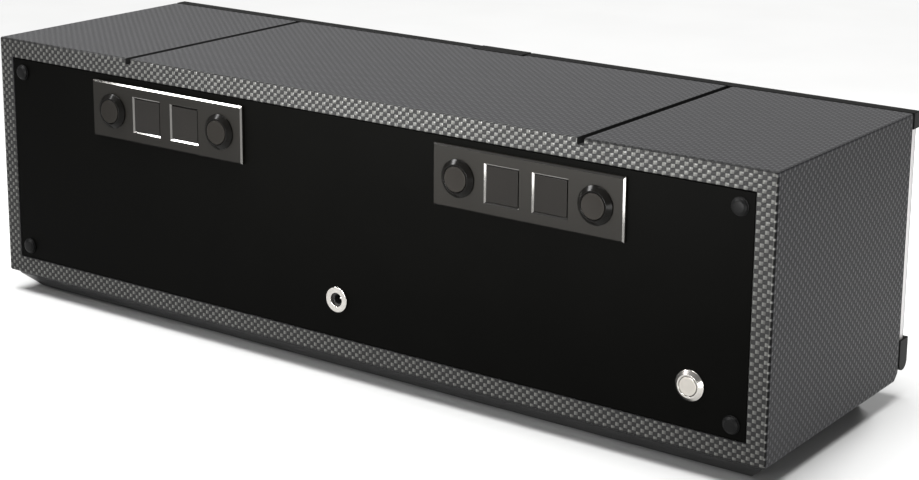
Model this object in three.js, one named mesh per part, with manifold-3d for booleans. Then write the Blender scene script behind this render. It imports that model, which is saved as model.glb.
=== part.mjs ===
// Watch winder box for four watches: a leatherette-covered case on a bevelled plinth, with a
// fold-down glass door at the front (-Y) and a screwed panel with the controls at the back (+Y).
// Millimetres, +Z up. The origin is at the bottom centre of the whole object.
import * as THREE from 'three';
import { ConvexGeometry } from 'three/addons/geometries/ConvexGeometry.js';
import { mergeVertices } from 'three/addons/utils/BufferGeometryUtils.js';
import Module from 'manifold-3d';

const wasm = await Module();
wasm.setup();

// ---- Driving dimensions ----------------------------------------------------------------

const GAP = 0.3; // clearance between pieces that touch

// Case, plinth and feet. Heights below are measured from the underside of the case.
const CASE = { width: 644, depth: 186, height: 180 };
const WALL = { side: 13.3, top: 13.7, bottom: 13 };
const FRONT_CHAMFER = 5;
const GROOVE = { x: 189.5, width: 5, depth: 4.5 };
const PLINTH = { height: 14, lip: 2.5, topInset: 5, bottomInset: 17 };
const FOOT = { radius: 9, proud: 1.5, recess: 1.5, x: 280, y: 60 };
const POST = { size: 18, depth: 30, frontSize: 12, frontDepth: 24 };

// Panels inside the case, by the y of their front face and their thickness.
const PANEL_SIDE_GAP = 0.4;
const BACK_PANEL = { front: 89.4, thickness: 3.2, chamfer: 0.5, cutWidth: 130, cutHeight: 30 };
const FASCIA = { front: -88, thickness: 4, holeRadius: 54 };
const MOTOR_PLATE = { front: 3, thickness: 4, axleHole: 5.2, shaftHole: 4.5 };

// Controls on the back panel.
const PLATE = { x: 152, z: 141, width: 142, height: 40.5, thickness: 3, chamfer: 1 };
const BUTTON_X = 51; // from the middle of a control plate
const WINDOW = { x: 18, width: 24.4, height: 24, thickness: 1.9, recess: 0.7 };
const BUTTON = { flange: 12.5, barrel: 10.8, rim: 9.3, bore: 8.6, height: 3.2, length: 17, capProud: 0.2 };
const POWER = { flange: 9.75, barrel: 7.9, rim: 7.1, bore: 6.25, height: 2.7, length: 19, capProud: 0.2 };
const POWER_AT = { x: -270, z: 41 };
const WELL = { depth: 6, cap: 3.7, capGap: 0.35 };
const JACK = {
  z: 40.4, flange: 8.8, barrel: 5.8, height: 1.5, mouth: 4.7, step: -0.4, socket: 3.3, floor: -11,
  pin: 1, pinEnd: -2.8, length: 14,
};
const BOARD = { front: 75, thickness: 1.6, width: 122, height: 34, display: 22 };
const SCREW = {
  x: 298.5, low: 22.8, high: 156, head: 5.5, washer: 5.8, dome: 2.7, shank: 1.7, hole: 2.1, length: 12,
};

// Rotors: four cups that turn about Y, each driven by a geared motor through a pinion.
const ROTOR_X = [-231.5, -77.2, 77.2, 231.5];
const CUP = { outer: 52, inner: 49, floor: -26, back: -22, hub: 9, axle: 4.7, axleEnd: 12 };
const CUSHION = { width: 68, height: 44, corner: 12, front: -80 };
const GEAR = { teeth: 36, module: 2, front: -5, width: 6 };
const PINION = { teeth: 10, module: 2, shaft: 2.5, front: -6, width: 8, shaftEnd: 18 };
const MOTOR = { gearbox: 16.5, gearboxLength: 22, can: 13.5, canLength: 26, socketDepth: 12 };

// Door: a glass pane held by a rail along its top and a hinge bracket at each lower corner.
const GLASS = { back: -96, thickness: 5, halfWidth: 320.5, bottom: 17.4, top: 174 };
const RAIL = { back: -94, front: -103, bottom: 169 };
const PULL = { width: 43, back: -90.5, front: -102.5, bottom: 177, proud: 0.5 };
const BRACKET = { width: 20, back: -93.7, front: -106, bottom: 5, top: 27, endWall: 1.2 };
const HINGE_BLOCK = { width: 13.5, radius: 5.3 };
const HINGE_PIN = { radius: 2, intoBracket: 16, intoBlock: 11 };
const MAGNET = { width: 24, height: 5.4, depth: 6, z: 171.7 };

// Worked out from the above.
const HALF_WIDTH = CASE.width / 2;
const BACK = CASE.depth / 2;
const FRONT = -BACK;
const INNER_X = HALF_WIDTH - WALL.side;
const INNER_TOP = CASE.height - WALL.top;
const PANEL_BACK = BACK_PANEL.front + BACK_PANEL.thickness;
const PLATE_FRONT = PANEL_BACK + GAP; // the plate's inner face, resting on the panel
const PLATE_BACK = PLATE_FRONT + PLATE.thickness; // its outer face
const ROTOR_Z = (WALL.bottom + INNER_TOP) / 2;
const GEAR_RADIUS = (GEAR.teeth * GEAR.module) / 2;
const PINION_RADIUS = (PINION.teeth * PINION.module) / 2;
const SHAFT_Z = ROTOR_Z - GEAR_RADIUS - PINION_RADIUS;
const HINGE_RADIUS = (BRACKET.back - BRACKET.front) / 2;
const HINGE_Y = BRACKET.back - HINGE_RADIUS;
const HINGE_Z = BRACKET.bottom + HINGE_RADIUS;
const BACK_REACH = PLATE_BACK + GAP + BUTTON.height + BUTTON.capProud; // the outermost point at the back
const CASE_Y = -(BACK_REACH + BRACKET.front) / 2; // puts the origin midway between front and back
const CASE_Z = PLINTH.height + FOOT.proud;

// ---- Materials -------------------------------------------------------------------------

function material(color, roughness, metalness = 0) {
  return new THREE.MeshStandardMaterial({ color, roughness, metalness });
}

const LEATHERETTE = material(0x77787a, 0.45);
const LACQUER = material(0x101010, 0.35);
const PANEL_BLACK = material(0x151513, 0.5);
const GUNMETAL = material(0x45443f, 0.4, 0.8);
const SMOKED = material(0x3a3834, 0.15);
const BEZEL_BLACK = material(0x0c0c0c, 0.2, 0.5);
const CAP_GREY = material(0x55514c, 0.5, 0.3);
const STEEL = material(0xd8d2c8, 0.3, 1);
const CHROME = material(0xe8e6e2, 0.1, 1);
const BLACK_ALUMINIUM = material(0x161616, 0.4, 0.6);
const RUBBER = material(0x1a1a1a, 0.9);
const CUP_BLACK = material(0x1c1c1c, 0.5);
const SUEDE = material(0x2a2a2c, 0.95);
const ACETAL = material(0xe6e3da, 0.5);
const CIRCUIT = material(0x1d4a2c, 0.6);
const CLEAR = new THREE.MeshStandardMaterial({
  color: 0xdfe8e6, roughness: 0.05, metalness: 0, transparent: true, opacity: 0.3,
});

// ---- Shapes ----------------------------------------------------------------------------

/** Welds the vertices, drops slivers with no area and turns the faces outwards. */
function weld(geometry) {
  const bare = geometry.clone();
  bare.deleteAttribute('normal');
  bare.deleteAttribute('uv');
  const merged = mergeVertices(bare, 1e-4);
  const index = [];
  for (let i = 0; i < merged.index.count; i += 3) {
    const [a, b, c] = [0, 1, 2].map((k) => merged.index.getX(i + k));
    if (a !== b && b !== c && c !== a) index.push(a, b, c);
  }
  const at = (i) => new THREE.Vector3().fromBufferAttribute(merged.attributes.position, i);
  let volume = 0;
  for (let i = 0; i < index.length; i += 3) {
    volume += at(index[i]).dot(at(index[i + 1]).cross(at(index[i + 2])));
  }
  if (volume < 0) index.reverse();
  merged.setIndex(index);
  return merged;
}

function toSolid(geometry) {
  const welded = weld(geometry);
  return new wasm.Manifold(new wasm.Mesh({
    numProp: 3,
    vertProperties: new Float32Array(welded.attributes.position.array),
    triVerts: new Uint32Array(welded.index.array),
  }));
}

function toGeometry(solid) {
  const mesh = solid.getMesh();
  const geometry = new THREE.BufferGeometry();
  geometry.setAttribute('position', new THREE.BufferAttribute(mesh.vertProperties, 3));
  geometry.setIndex(new THREE.BufferAttribute(mesh.triVerts, 1));
  geometry.computeVertexNormals();
  return geometry;
}

/** The base shape with the shapes in join added and those in cut taken away. */
function carve(base, cut = [], join = []) {
  let solid = toSolid(base);
  for (const piece of join) solid = solid.add(toSolid(piece));
  for (const piece of cut) solid = solid.subtract(toSolid(piece));
  return toGeometry(solid);
}

/** A box between two corners. */
function block(x0, x1, y0, y1, z0, z1) {
  const box = new THREE.BoxGeometry(x1 - x0, y1 - y0, z1 - z0);
  return box.translate((x0 + x1) / 2, (y0 + y1) / 2, (z0 + z1) / 2);
}

/** A solid of revolution about Y, from [radius, y] pairs that start and end on the axis. */
function turned(profile, segments = 24) {
  return weld(new THREE.LatheGeometry(profile.map(([r, y]) => new THREE.Vector2(r, y)), segments));
}

/** A round bar along Y. */
function barY(radius, y0, y1, x = 0, z = 0, segments = 24) {
  return turned([[0, y0], [radius, y0], [radius, y1], [0, y1]], segments).translate(x, 0, z);
}

/** A round bar along X, with its axis at the given y and z. */
function barX(radius, x0, x1, y, z, segments = 20) {
  return barY(radius, x0, x1, 0, 0, segments).rotateZ(-Math.PI / 2).translate(0, y, z);
}

/** The corners of a rectangle in the XZ plane at a given y. */
function rectangle(width, height, y) {
  const corners = [[-1, -1], [1, -1], [1, 1], [-1, 1]];
  return corners.map(([i, k]) => new THREE.Vector3((i * width) / 2, y, (k * height) / 2));
}

/** A slab in the XZ plane whose edge is chamfered at the face at y1. */
function bevelledSlab(width, height, y0, y1, chamfer) {
  return new ConvexGeometry([
    ...rectangle(width, height, y0),
    ...rectangle(width, height, y1 - chamfer),
    ...rectangle(width - 2 * chamfer, height - 2 * chamfer, y1),
  ]);
}

/** An outline in the XZ plane pushed through from y0 to y1. */
function extrudeY(outline, y0, y1, curveSegments = 6) {
  const shape = new THREE.ExtrudeGeometry(outline, { depth: y1 - y0, bevelEnabled: false, curveSegments });
  return shape.rotateX(Math.PI / 2).translate(0, y1, 0);
}

function roundedRectangle(width, height, r) {
  const [w, h] = [width / 2, height / 2];
  const shape = new THREE.Shape();
  shape.moveTo(-w + r, -h);
  shape.lineTo(w - r, -h);
  shape.absarc(w - r, -h + r, r, -Math.PI / 2, 0);
  shape.lineTo(w, h - r);
  shape.absarc(w - r, h - r, r, 0, Math.PI / 2);
  shape.lineTo(-w + r, h);
  shape.absarc(-w + r, h - r, r, Math.PI / 2, Math.PI);
  shape.lineTo(-w, -h + r);
  shape.absarc(-w + r, -h + r, r, Math.PI, Math.PI * 1.5);
  return shape;
}

/** A toothed outline with straight flanks; a tooth, or a gap, is centred on the angle start. */
function gearOutline({ teeth, module }, start) {
  const pitch = (teeth * module) / 2;
  // Radius and half the tooth's width, at its root and at its tip.
  const flank = [[pitch - 1.25 * module, 0.9 * module], [pitch + module, 0.33 * module]];
  const points = [];
  for (let tooth = 0; tooth < teeth; tooth += 1) {
    const middle = start + (tooth * 2 * Math.PI) / teeth;
    const side = (sign) => flank.map(([r, half]) => [r, (sign * half) / r]);
    for (const [r, offset] of [...side(-1), ...side(1).reverse()]) {
      points.push(new THREE.Vector2(r * Math.cos(middle + offset), r * Math.sin(middle + offset)));
    }
  }
  return new THREE.Shape(points);
}

// ---- The object ------------------------------------------------------------------------

const winder = new THREE.Group();
winder.name = 'watch_winder_box';
winder.position.set(0, CASE_Y, CASE_Z);

/** Adds one named piece; x, y and z move its geometry to its place. */
function add(name, geometry, look, x = 0, y = 0, z = 0) {
  const mesh = new THREE.Mesh(weld(geometry), look);
  mesh.name = name;
  mesh.position.set(x, y, z);
  winder.add(mesh);
}

const SIDES = [['left', -1], ['right', 1]]; // as seen from the glass door
const CORNERS = [[-1, -1], [1, -1], [-1, 1], [1, 1]];
const screwZ = (k) => (k < 0 ? SCREW.low : SCREW.high);

function caseShell() {
  const past = BACK + 1;
  const cuts = [block(-INNER_X, INNER_X, -past, past, WALL.bottom, INNER_TOP)];
  for (const side of [-1, 1]) {
    const [x0, x1] = [side * GROOVE.x - GROOVE.width / 2, side * GROOVE.x + GROOVE.width / 2];
    cuts.push(block(x0, x1, -past, past, CASE.height - GROOVE.depth, CASE.height + 1));
  }
  const chamferSide = FRONT_CHAMFER * Math.SQRT2;
  const chamfer = new THREE.BoxGeometry(CASE.width + 2, chamferSide, chamferSide);
  cuts.push(chamfer.rotateX(Math.PI / 4).translate(0, FRONT, 0));
  const pullHalf = PULL.width / 2 + 1;
  const pullRoom = [PULL.back + 2 * GAP, PULL.bottom - 2 * GAP];
  cuts.push(block(-pullHalf, pullHalf, FRONT - 1, pullRoom[0], pullRoom[1], CASE.height + 1));
  const magnetHalf = MAGNET.width / 2;
  const magnetRise = MAGNET.height / 2;
  cuts.push(block(-magnetHalf - GAP, magnetHalf + GAP, FRONT - 1, FRONT + MAGNET.depth + GAP,
    MAGNET.z - magnetRise - GAP, MAGNET.z + magnetRise + GAP));
  const shell = carve(block(-HALF_WIDTH, HALF_WIDTH, FRONT, BACK, 0, CASE.height), cuts);

  // Corner posts that the back panel is screwed to, and smaller ones behind the front fascia.
  const postBack = BACK_PANEL.front - GAP;
  const postFront = FASCIA.front + FASCIA.thickness + GAP;
  const posts = [];
  const pilotHoles = [];
  for (const [i, k] of CORNERS) {
    const z = k < 0 ? WALL.bottom : INNER_TOP;
    const across = (size) => [i * INNER_X, i * (INNER_X - size)].sort((a, b) => a - b);
    const rise = (size) => [z, z - k * size].sort((a, b) => a - b);
    const [small, frontEnd] = [POST.frontSize, postFront + POST.frontDepth];
    posts.push(block(...across(POST.size), postBack - POST.depth, postBack, ...rise(POST.size)));
    posts.push(block(...across(small), postFront, frontEnd, ...rise(small)));
    pilotHoles.push(barY(SCREW.hole, postBack - SCREW.length - 4, BACK, i * SCREW.x, screwZ(k), 12));
  }
  add('case_shell', carve(shell, pilotHoles, posts), LEATHERETTE);
  add('door_magnet', block(-magnetHalf, magnetHalf, 0, MAGNET.depth, -magnetRise, magnetRise), STEEL,
    0, FRONT, MAGNET.z);
}

function plinthAndFeet() {
  const ring = (inset, z) => CORNERS.map(([i, k]) => (
    new THREE.Vector3(i * (HALF_WIDTH - inset), k * (BACK - inset), z)));
  const body = new ConvexGeometry([
    ...ring(PLINTH.topInset, -GAP),
    ...ring(PLINTH.topInset, -PLINTH.lip),
    ...ring(PLINTH.bottomInset, -PLINTH.height),
  ]);
  const pad = (radius, z0, z1) => barY(radius, z0, z1, 0, 0, 20).rotateX(Math.PI / 2);
  const pocket = pad(FOOT.radius + GAP, -PLINTH.height - 1, -PLINTH.height + FOOT.recess);
  const pockets = CORNERS.map(([i, k]) => pocket.clone().translate(i * FOOT.x, k * FOOT.y, 0));
  add('base_plinth', carve(body, pockets), LACQUER);
  const bottom = -PLINTH.height - FOOT.proud;
  CORNERS.forEach(([i, k], n) => {
    const foot = pad(FOOT.radius, bottom, -PLINTH.height + FOOT.recess - GAP);
    add(`foot_${n + 1}`, foot, RUBBER, i * FOOT.x, k * FOOT.y);
  });
}

/** A push button's fixed bezel, facing +Y, with y = 0 at the face that it is mounted on. */
function bezel(b) {
  const face = GAP + b.height;
  return turned([
    [0, -b.length], [b.barrel, -b.length], [b.barrel, GAP], [b.flange, GAP], [b.flange, GAP + 0.6],
    [b.rim, face], [b.bore, face], [b.bore, face - WELL.depth], [0, face - WELL.depth],
  ]);
}

function cap(b) {
  const face = GAP + b.height + b.capProud;
  const r = b.bore - WELL.capGap;
  return turned([[0, face - WELL.cap], [r, face - WELL.cap], [r, face - 0.4], [r - 0.4, face], [0, face]]);
}

function backPanel() {
  const [width, height] = [2 * (INNER_X - PANEL_SIDE_GAP), INNER_TOP - WALL.bottom - 2 * PANEL_SIDE_GAP];
  const [y0, y1] = [BACK_PANEL.front, PANEL_BACK];
  const cut = [barY(JACK.barrel + GAP, y0 - 1, y1 + 1, 0, JACK.z),
    barY(POWER.barrel + GAP, y0 - 1, y1 + 1, POWER_AT.x, POWER_AT.z)];
  for (const side of [-1, 1]) {
    const [x, halfWidth, halfHeight] = [side * PLATE.x, BACK_PANEL.cutWidth / 2, BACK_PANEL.cutHeight / 2];
    cut.push(block(x - halfWidth, x + halfWidth, y0 - 1, y1 + 1, PLATE.z - halfHeight, PLATE.z + halfHeight));
    for (const z of [SCREW.low, SCREW.high]) {
      cut.push(barY(SCREW.hole, y0 - 1, y1 + 1, side * SCREW.x, z, 12));
    }
  }
  const slab = bevelledSlab(width, height, y0, y1, BACK_PANEL.chamfer).translate(0, 0, ROTOR_Z);
  add('back_panel', carve(slab, cut), PANEL_BLACK);

  const screw = turned([
    [0, -SCREW.length], [SCREW.shank, -SCREW.length], [SCREW.shank, GAP], [SCREW.washer, GAP],
    [SCREW.washer, GAP + 0.4], [SCREW.head, GAP + 0.6], [SCREW.head * 0.9, GAP + SCREW.dome * 0.6],
    [SCREW.head * 0.55, GAP + SCREW.dome * 0.92], [0, GAP + SCREW.dome],
  ], 16);
  CORNERS.forEach(([i, k], n) => {
    add(`back_screw_${n + 1}`, screw, PANEL_BLACK, i * SCREW.x, PANEL_BACK, screwZ(k));
  });

  const jackFace = GAP + JACK.height;
  const jack = turned([
    [0, -JACK.length], [JACK.barrel, -JACK.length], [JACK.barrel, GAP], [JACK.flange, GAP],
    [JACK.flange, jackFace - 0.7], [JACK.flange - 0.7, jackFace], [JACK.mouth, jackFace],
    [JACK.mouth, JACK.step], [JACK.socket, JACK.step], [JACK.socket, JACK.floor],
    [JACK.pin, JACK.floor], [JACK.pin, JACK.pinEnd], [0, JACK.pinEnd],
  ]);
  add('dc_jack', jack, CHROME, 0, PANEL_BACK, JACK.z);
  add('power_button_bezel', bezel(POWER), CHROME, POWER_AT.x, PANEL_BACK, POWER_AT.z);
  add('power_button_cap', cap(POWER), STEEL, POWER_AT.x, PANEL_BACK, POWER_AT.z);
}

function controls() {
  const t = PLATE.thickness;
  const cut = [];
  for (const side of [-1, 1]) {
    cut.push(barY(BUTTON.barrel + GAP, -1, t + 1, side * BUTTON_X));
    // The window opening flares towards the outer face by the plate's chamfer.
    const opening = bevelledSlab(WINDOW.width + 2 * PLATE.chamfer, WINDOW.height + 2 * PLATE.chamfer,
      -1, 0, PLATE.chamfer).rotateZ(Math.PI).translate(side * WINDOW.x, t - PLATE.chamfer, 0);
    cut.push(opening);
    const [x, w, h] = [side * WINDOW.x, WINDOW.width / 2, WINDOW.height / 2];
    cut.push(block(x - w, x + w, -1, t, -h, h));
  }
  const plate = carve(bevelledSlab(PLATE.width, PLATE.height, 0, t, PLATE.chamfer), cut);
  const [lensX, lensZ] = [WINDOW.width / 2 - GAP, WINDOW.height / 2 - GAP];
  const lensBack = t - WINDOW.recess;
  const window = block(-lensX, lensX, lensBack - WINDOW.thickness, lensBack, -lensZ, lensZ);
  const half = BOARD.display / 2;
  const displayBack = PLATE_FRONT - GAP - BOARD.front;
  const displays = [-1, 1].map((side) => (
    block(side * WINDOW.x - half, side * WINDOW.x + half, 0, displayBack, -half, half)));
  const board = carve(block(-BOARD.width / 2, BOARD.width / 2, 0, BOARD.thickness,
    -BOARD.height / 2, BOARD.height / 2), [], displays);
  let number = 1;
  for (const [name, side] of SIDES) {
    add(`control_plate_${name}`, plate, GUNMETAL, side * PLATE.x, PLATE_FRONT, PLATE.z);
    add(`control_board_${name}`, board, CIRCUIT, side * PLATE.x, BOARD.front, PLATE.z);
    for (const end of [-1, 1]) {
      const middle = side * PLATE.x;
      add(`display_window_${number}`, window, SMOKED, middle + end * WINDOW.x, PLATE_FRONT, PLATE.z);
      add(`button_bezel_${number}`, bezel(BUTTON), BEZEL_BLACK, middle + end * BUTTON_X, PLATE_BACK, PLATE.z);
      add(`button_cap_${number}`, cap(BUTTON), CAP_GREY, middle + end * BUTTON_X, PLATE_BACK, PLATE.z);
      number += 1;
    }
  }
}

function rotors() {
  const [width, height] = [2 * (INNER_X - PANEL_SIDE_GAP), INNER_TOP - WALL.bottom - 2 * PANEL_SIDE_GAP];
  const fasciaBack = FASCIA.front + FASCIA.thickness;
  const plateBack = MOTOR_PLATE.front + MOTOR_PLATE.thickness;
  const slab = (y0, y1) => block(-width / 2, width / 2, y0, y1, ROTOR_Z - height / 2, ROTOR_Z + height / 2);
  add('front_fascia', carve(slab(FASCIA.front, fasciaBack), ROTOR_X.map((x) => (
    barY(FASCIA.holeRadius, FASCIA.front - 1, fasciaBack + 1, x, ROTOR_Z, 48)))), LACQUER);
  const plateHoles = ROTOR_X.flatMap((x) => [
    barY(MOTOR_PLATE.axleHole, MOTOR_PLATE.front - 1, plateBack + 1, x, ROTOR_Z, 20),
    barY(MOTOR_PLATE.shaftHole, MOTOR_PLATE.front - 1, plateBack + 1, x, SHAFT_Z, 16)]);
  add('motor_plate', carve(slab(MOTOR_PLATE.front, plateBack), plateHoles), LACQUER);

  const cup = turned([
    [0, CUP.floor], [CUP.inner, CUP.floor], [CUP.inner, FASCIA.front], [CUP.outer, FASCIA.front],
    [CUP.outer, CUP.back], [CUP.hub, CUP.back], [CUP.hub, MOTOR_PLATE.front - GAP],
    [CUP.axle, MOTOR_PLATE.front - GAP], [CUP.axle, CUP.axleEnd], [0, CUP.axleEnd],
  ], 32);
  const wheel = extrudeY(gearOutline(GEAR, -Math.PI / 2), GEAR.front, GEAR.front + GEAR.width);
  const rotorCup = carve(cup, [], [wheel]);
  const cushion = extrudeY(roundedRectangle(CUSHION.width, CUSHION.height, CUSHION.corner),
    CUSHION.front, CUP.floor - GAP);
  const halfTooth = Math.PI / PINION.teeth;
  const pinion = carve(
    extrudeY(gearOutline(PINION, Math.PI / 2 + halfTooth), PINION.front, PINION.front + PINION.width),
    [], [barY(PINION.shaft, PINION.front - 2, PINION.shaftEnd, 0, 0, 12)]);
  const motorFront = plateBack + GAP;
  const motorMiddle = motorFront + MOTOR.gearboxLength;
  const socket = PINION.shaft + GAP;
  const motor = turned([
    [0, motorMiddle + MOTOR.canLength], [MOTOR.can, motorMiddle + MOTOR.canLength], [MOTOR.can, motorMiddle],
    [MOTOR.gearbox, motorMiddle], [MOTOR.gearbox, motorFront], [socket, motorFront],
    [socket, motorFront + MOTOR.socketDepth], [0, motorFront + MOTOR.socketDepth],
  ], 20);
  ROTOR_X.forEach((x, n) => {
    add(`rotor_cup_${n + 1}`, rotorCup, CUP_BLACK, x, 0, ROTOR_Z);
    add(`watch_cushion_${n + 1}`, cushion, SUEDE, x, 0, ROTOR_Z);
    add(`motor_pinion_${n + 1}`, pinion, ACETAL, x, 0, SHAFT_Z);
    add(`gear_motor_${n + 1}`, motor, STEEL, x, 0, SHAFT_Z);
  });
}

/** A bar along X whose end view is a rectangle with a full round at the bottom or the front. */
function hingeBracket() {
  const { width, endWall } = BRACKET;
  const upright = block(0, width, BRACKET.front, BRACKET.back, HINGE_Z, BRACKET.top);
  const round = barX(HINGE_RADIUS, 0, width, HINGE_Y, HINGE_Z, 32);
  const slotFront = GLASS.back - GLASS.thickness - GAP;
  const slot = block(-1, width - endWall, slotFront, GLASS.back + GAP, GLASS.bottom - GAP, BRACKET.top + 1);
  const bore = barX(HINGE_PIN.radius + GAP, -1, HINGE_PIN.intoBracket + GAP, HINGE_Y, HINGE_Z);
  return carve(upright, [slot, bore], [round]);
}

function hingeBlock() {
  const { width, radius } = HINGE_BLOCK;
  const foot = block(-width, 0, HINGE_Y, FRONT - GAP, HINGE_Z - radius, HINGE_Z + radius);
  const nose = barX(radius, -width, 0, HINGE_Y, HINGE_Z, 32);
  const bore = barX(HINGE_PIN.radius + GAP, -HINGE_PIN.intoBlock - GAP, 1, HINGE_Y, HINGE_Z);
  return carve(foot, [bore], [nose]);
}

function door() {
  const glassFront = GLASS.back - GLASS.thickness;
  const glass = block(-GLASS.halfWidth, GLASS.halfWidth, glassFront, GLASS.back, GLASS.bottom, GLASS.top);
  add('door_glass', glass, CLEAR);
  const pullHalf = PULL.width / 2;
  const pullTop = CASE.height + PULL.proud;
  const slotHalf = GLASS.halfWidth + GAP;
  const recessHalf = pullHalf + GAP;
  const rail = block(-HALF_WIDTH, HALF_WIDTH, RAIL.front, RAIL.back, RAIL.bottom, CASE.height);
  add('door_rail', carve(rail, [
    block(-slotHalf, slotHalf, glassFront - GAP, GLASS.back + GAP, RAIL.bottom - 1, GLASS.top + GAP),
    block(-recessHalf, recessHalf, RAIL.front - 1, RAIL.back + 1, PULL.bottom - GAP, CASE.height + 1),
  ]), BLACK_ALUMINIUM);
  add('door_pull', block(-pullHalf, pullHalf, PULL.front, PULL.back, PULL.bottom, pullTop), LACQUER);

  // The right-hand hinge, and its mirror image on the left.
  const bracketX = HALF_WIDTH - BRACKET.width;
  const blockX = bracketX - 0.5;
  for (const [name, side] of SIDES) {
    const place = (geometry, x) => {
      const moved = weld(geometry).translate(x, 0, 0);
      return side > 0 ? moved : moved.scale(-1, 1, 1);
    };
    add(`hinge_bracket_${name}`, place(hingeBracket(), bracketX), BLACK_ALUMINIUM);
    add(`hinge_block_${name}`, place(hingeBlock(), blockX), BLACK_ALUMINIUM);
    const pin = barX(HINGE_PIN.radius, blockX - HINGE_PIN.intoBlock, bracketX + HINGE_PIN.intoBracket,
      HINGE_Y, HINGE_Z);
    add(`hinge_pin_${name}`, place(pin, 0), STEEL);
  }
}

caseShell();
plinthAndFeet();
backPanel();
controls();
rotors();
door();

export default winder;
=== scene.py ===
"""The finished look of the watch winder box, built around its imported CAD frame.

Lengths are in metres, in the frame's own axes: +Z up, the glass door towards -Y, the panel with
the controls towards +Y. Constants given in millimetres are multiplied by MM.
"""

import math

import bmesh
import bpy
from mathutils import Matrix, Vector
from mathutils.bvhtree import BVHTree


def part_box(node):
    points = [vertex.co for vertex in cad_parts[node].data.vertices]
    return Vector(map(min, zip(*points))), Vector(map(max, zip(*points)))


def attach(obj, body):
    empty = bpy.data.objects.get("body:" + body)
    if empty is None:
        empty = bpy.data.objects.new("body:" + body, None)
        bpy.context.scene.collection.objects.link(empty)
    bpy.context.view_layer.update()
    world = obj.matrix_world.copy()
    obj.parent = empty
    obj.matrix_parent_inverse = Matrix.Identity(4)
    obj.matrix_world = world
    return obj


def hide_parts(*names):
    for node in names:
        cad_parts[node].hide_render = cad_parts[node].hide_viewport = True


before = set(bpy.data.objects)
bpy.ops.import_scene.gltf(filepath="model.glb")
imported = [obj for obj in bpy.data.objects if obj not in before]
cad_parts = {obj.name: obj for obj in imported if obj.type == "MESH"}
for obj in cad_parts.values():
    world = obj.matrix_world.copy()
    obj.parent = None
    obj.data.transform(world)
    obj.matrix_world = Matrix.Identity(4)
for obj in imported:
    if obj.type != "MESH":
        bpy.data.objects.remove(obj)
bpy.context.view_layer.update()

MM = 0.001

# ---- The camera, the lights and the floor ----------------------------------------------------

CAMERA = {
    "azimuth": 214.86,
    "elevation": 13.54,
    "roll": 0.74,
    "distance": 1.407,
    "right": 0.05395,
    "up": 0.0483,
    "lens": 78.89,
    "sensor": 36,
    "shift": (-0.0441, -0.1197),
    "clip": (0.05, 50),
}
FLOOR_SIZE = 12.0
WORLD_LIGHT = 0.22
OVERHEAD = {"strength": 6.4, "spread": 34, "tilt": 4}
# Each softbox: where it is, where it points, its width and height, its power and its spread.
SOFTBOXES = {
    "key": ((0.60, 1.15, 1.00), (0.0, 0.09, 0.14), (0.55, 0.40), 2.2, 90),
    "near": ((-0.06, 0.62, 0.174), (-0.06, 0.09, 0.21), (0.50, 0.04), 1.1, 50),
    "upper_left": ((0.78, 0.34, 0.95), (0.15, 0.09, 0.16), (0.38, 0.26), 5.0, 120),
    "side": ((-0.64, 0.435, 0.09), (-0.20, 0.09, 0.14), (0.17, 0.17), 0.36, 120),
    "front": ((-0.20, -1.20, 0.45), (0.02, -0.10, 0.11), (0.22, 0.30), 5.0, 70),
}


def aim(obj, target):
    obj.rotation_euler = (Vector(target) - obj.location).to_track_quat("-Z", "Y").to_euler()


def make_camera():
    """The camera looks at a point near the middle of the case, from behind and to one side."""
    data = bpy.data.cameras.new("camera")
    data.sensor_width = CAMERA["sensor"]
    data.lens = CAMERA["lens"]
    data.shift_x, data.shift_y = CAMERA["shift"]
    data.clip_start, data.clip_end = CAMERA["clip"]
    camera = bpy.data.objects.new("camera", data)
    bpy.context.scene.collection.objects.link(camera)
    azimuth, elevation, roll = (math.radians(CAMERA[k]) for k in ("azimuth", "elevation", "roll"))
    back = Vector((
        math.sin(azimuth) * math.cos(elevation),
        -math.cos(azimuth) * math.cos(elevation),
        math.sin(elevation),
    ))
    level = (-back).cross(Vector((0, 0, 1))).normalized()
    upright = level.cross(-back)
    right = math.cos(roll) * level + math.sin(roll) * upright
    up = -math.sin(roll) * level + math.cos(roll) * upright
    offset = back * CAMERA["distance"] + level * CAMERA["right"] + upright * CAMERA["up"]
    camera.location = middle_of("case_shell") + offset
    camera.rotation_mode = "QUATERNION"
    camera.rotation_quaternion = Matrix((right, up, back)).transposed().to_quaternion()
    bpy.context.scene.camera = camera


def make_lights():
    """A dim white surround, a soft light from straight above, and the softboxes."""
    scene = bpy.context.scene
    scene.view_settings.view_transform = "Standard"
    world = bpy.data.worlds.new("studio")
    world.use_nodes = True
    background = world.node_tree.nodes["Background"]
    background.inputs["Color"].default_value = (1, 1, 1, 1)
    background.inputs["Strength"].default_value = WORLD_LIGHT
    scene.world = world

    sun = bpy.data.lights.new("overhead", "SUN")
    sun.energy = OVERHEAD["strength"]
    sun.angle = math.radians(OVERHEAD["spread"])
    overhead = bpy.data.objects.new("overhead", sun)
    overhead.rotation_euler = (math.radians(-OVERHEAD["tilt"]), 0, 0)
    scene.collection.objects.link(overhead)

    for name, (place, target, size, power, spread) in SOFTBOXES.items():
        data = bpy.data.lights.new(name, "AREA")
        data.shape = "RECTANGLE"
        data.size, data.size_y = size
        data.energy = power
        data.spread = math.radians(spread)
        lamp = bpy.data.objects.new(name, data)
        lamp.location = place
        aim(lamp, target)
        lamp.visible_camera = False
        lamp.visible_glossy = name != "front"  # a fill, which should not glint
        scene.collection.objects.link(lamp)


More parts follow.
